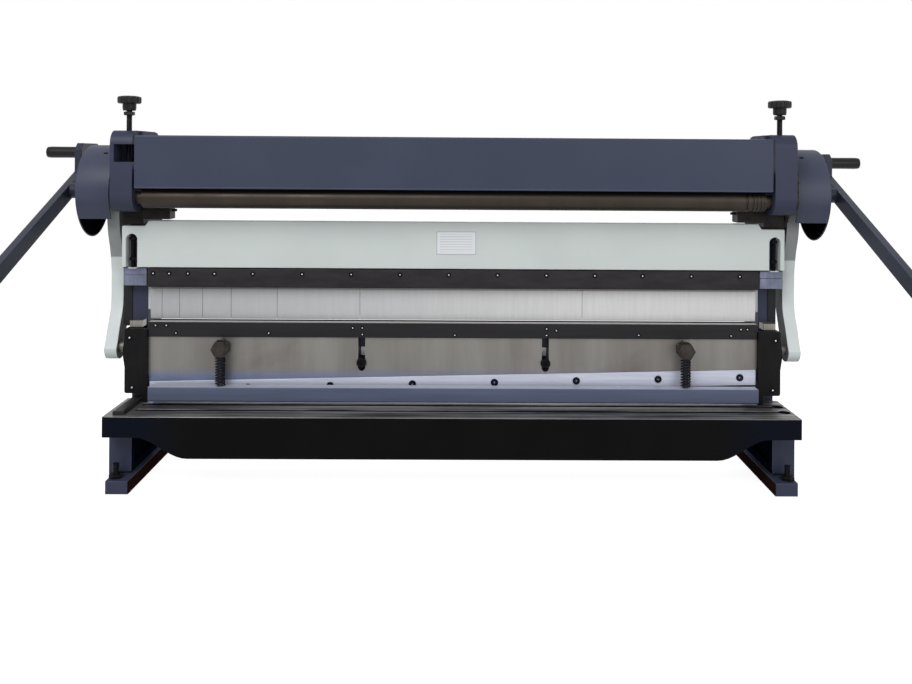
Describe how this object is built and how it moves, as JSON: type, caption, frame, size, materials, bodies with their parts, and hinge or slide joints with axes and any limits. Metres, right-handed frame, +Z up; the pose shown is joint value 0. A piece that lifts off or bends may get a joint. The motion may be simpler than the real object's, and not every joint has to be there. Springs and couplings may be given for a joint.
{
  "type": "combination sheet metal machine",
  "caption": "Hand-levered bench machine that shears, brakes and rolls sheet metal between two cast side frames, with slip rolls on top, a finger brake in the middle and a blade at the table.",
  "frame": {"origin": "centre of the bounding box's underside, on the floor between the two feet", "axes": "+X along the working width to the operator's right, +Y to the machine's back, +Z up"},
  "size_m": [1.924, 0.679, 0.814],
  "materials": {
    "slate_paint": "semi-gloss slate blue enamel",
    "grey_green_paint": "semi-gloss pale grey-green enamel",
    "black_oxide": "black oxide with machined faces",
    "black_casting": "black enamel with a machined top",
    "ground_steel": "oiled ground steel",
    "bright_blade_steel": "bright ground tool steel",
    "dark_roll_steel": "oiled turned steel",
    "black_plastic": "moulded black plastic",
    "pale_finger_steel": "ground steel",
    "blue_grey_steel": "blued steel bar"
  },
  "bodies": {
    "frame_body": {"left_adjuster_bracket": "blue_grey_steel", "left_gear_guard": "slate_paint", "left_guide_bolt": "black_oxide", "left_guide_plate": "black_oxide", "left_jack_screw": "ground_steel", "left_side_frame": "slate_paint", "lower_shear_blade": "bright_blade_steel", "rear_tie_beam": "slate_paint", "right_adjuster_bracket": "blue_grey_steel", "right_gear_guard": "slate_paint", "right_guide_bolt": "black_oxide", "right_guide_plate": "black_oxide", "right_jack_screw": "ground_steel", "right_side_frame": "slate_paint", "roll_guard_beam": "slate_paint", "side_gauge": "black_oxide", "work_table": "black_casting"},
    "beam_body": {"beam_backing_bar": "grey_green_paint", "clamp_strip": "black_oxide", "finger_1": "pale_finger_steel", "finger_2": "pale_finger_steel", "finger_3": "pale_finger_steel", "finger_4": "pale_finger_steel", "finger_5": "pale_finger_steel", "finger_6": "pale_finger_steel", "finger_7": "pale_finger_steel", "finger_8": "pale_finger_steel", "upper_beam": "grey_green_paint"},
    "carriage_body": {"carriage": "ground_steel", "left_eye_bolt": "black_oxide", "right_eye_bolt": "black_oxide", "upper_shear_blade": "bright_blade_steel", "v_die_bar": "black_oxide"},
    "left_link_body": {"left_link": "grey_green_paint"},
    "right_link_body": {"right_link": "grey_green_paint"},
    "hold_down_body": {"hold_down_bar": "blue_grey_steel", "left_hold_down_rod": "ground_steel", "left_hold_down_spring": "ground_steel", "right_hold_down_rod": "ground_steel", "right_hold_down_spring": "ground_steel"},
    "main_shaft_body": {"drive_gear": "ground_steel", "left_crank_grip": "black_plastic", "left_eccentric": "ground_steel", "left_lever": "slate_paint", "main_shaft": "ground_steel", "right_crank_grip": "black_plastic", "right_eccentric": "ground_steel", "right_lever": "slate_paint"},
    "lower_roll_body": {"lower_roll": "dark_roll_steel", "lower_roll_gear": "ground_steel"},
    "roll_block_body": {"left_roll_block": "ground_steel", "right_roll_block": "ground_steel"},
    "upper_roll_body": {"upper_roll": "dark_roll_steel", "upper_roll_gear": "ground_steel"},
    "left_knob_body": {"left_knob_screw": "black_plastic"},
    "right_knob_body": {"right_knob_screw": "black_plastic"},
    "rear_bracket_body": {"left_rear_roll_bracket": "ground_steel", "right_rear_roll_bracket": "ground_steel"},
    "rear_roll_body": {"rear_roll": "dark_roll_steel"}
  },
  "joints": [
    {"name": "lever_turn", "type": "hinge", "parent": "frame_body", "child": "main_shaft_body", "pos_m": [0, 0.17451, 0.61], "axis": [-1, 0, 0], "range_deg": [-31.15, 148.85]},
    {"name": "carriage_slide", "type": "slide", "parent": "frame_body", "child": "carriage_body", "axis": [0, 0, 1], "range_m": [-0.043, 0.009]},
    {"name": "hold_down_slide", "type": "slide", "parent": "carriage_body", "child": "hold_down_body", "axis": [0, 0, 1], "range_m": [-0.007, 0.0334], "deforming": ["left_hold_down_spring", "right_hold_down_spring"]},
    {"name": "left_link_swing", "type": "hinge", "parent": "carriage_body", "child": "left_link_body", "pos_m": [-0.7385, 0.13751, 0.2725], "axis": [1, 0, 0], "range_deg": [-0.16, 0.75]},
    {"name": "right_link_swing", "type": "hinge", "parent": "carriage_body", "child": "right_link_body", "pos_m": [0.7385, 0.13751, 0.2725], "axis": [1, 0, 0], "range_deg": [-0.16, 0.75]},
    {"name": "lower_roll_spin", "type": "hinge", "parent": "frame_body", "child": "lower_roll_body", "pos_m": [0, 0.07199, 0.6], "axis": [-1, 0, 0], "range_deg": [-518, 108.5]},
    {"name": "left_knob_turn", "type": "hinge", "parent": "roll_block_body", "child": "left_knob_body", "pos_m": [-0.688, 0.07199, 0.741], "axis": [0, 0, 1], "range_deg": [0, 822.86]},
    {"name": "upper_roll_lift", "type": "slide", "parent": "frame_body", "child": "roll_block_body", "axis": [0, 0, 1], "range_m": [0, 0.004]},
    {"name": "right_knob_turn", "type": "hinge", "parent": "roll_block_body", "child": "right_knob_body", "pos_m": [0.688, 0.07199, 0.741], "axis": [0, 0, 1], "range_deg": [0, 822.86]},
    {"name": "upper_roll_spin", "type": "hinge", "parent": "roll_block_body", "child": "upper_roll_body", "pos_m": [0, 0.07199, 0.646], "axis": [-1, 0, 0], "range_deg": [-108.5, 518]},
    {"name": "rear_roll_lift", "type": "slide", "parent": "frame_body", "child": "rear_bracket_body", "axis": [0, 0, 1], "range_m": [0, 0.012]},
    {"name": "rear_roll_spin", "type": "hinge", "parent": "rear_bracket_body", "child": "rear_roll_body", "pos_m": [0, 0.12251, 0.612], "axis": [-1, 0, 0], "continuous": true},
    {"name": "beam_height", "type": "slide", "parent": "frame_body", "child": "beam_body", "axis": [0, 0, 1], "range_m": [0, 0.0025]}
  ],
  "couplings": [
    {"joint": "carriage_slide", "follows": "lever_turn", "m_per_rad": -0.016552},
    {"joint": "hold_down_slide", "follows": "lever_turn", "m_per_rad": 0.012857},
    {"joint": "left_link_swing", "follows": "lever_turn", "ratio": 0.005},
    {"joint": "right_link_swing", "follows": "lever_turn", "ratio": 0.005},
    {"joint": "lower_roll_spin", "follows": "lever_turn", "ratio": -3.4783},
    {"joint": "upper_roll_spin", "follows": "lever_turn", "ratio": 3.4783},
    {"joint": "left_knob_turn", "follows": "upper_roll_lift", "rad_per_m": 3590.4},
    {"joint": "right_knob_turn", "follows": "upper_roll_lift", "rad_per_m": 3590.4}
  ]
}
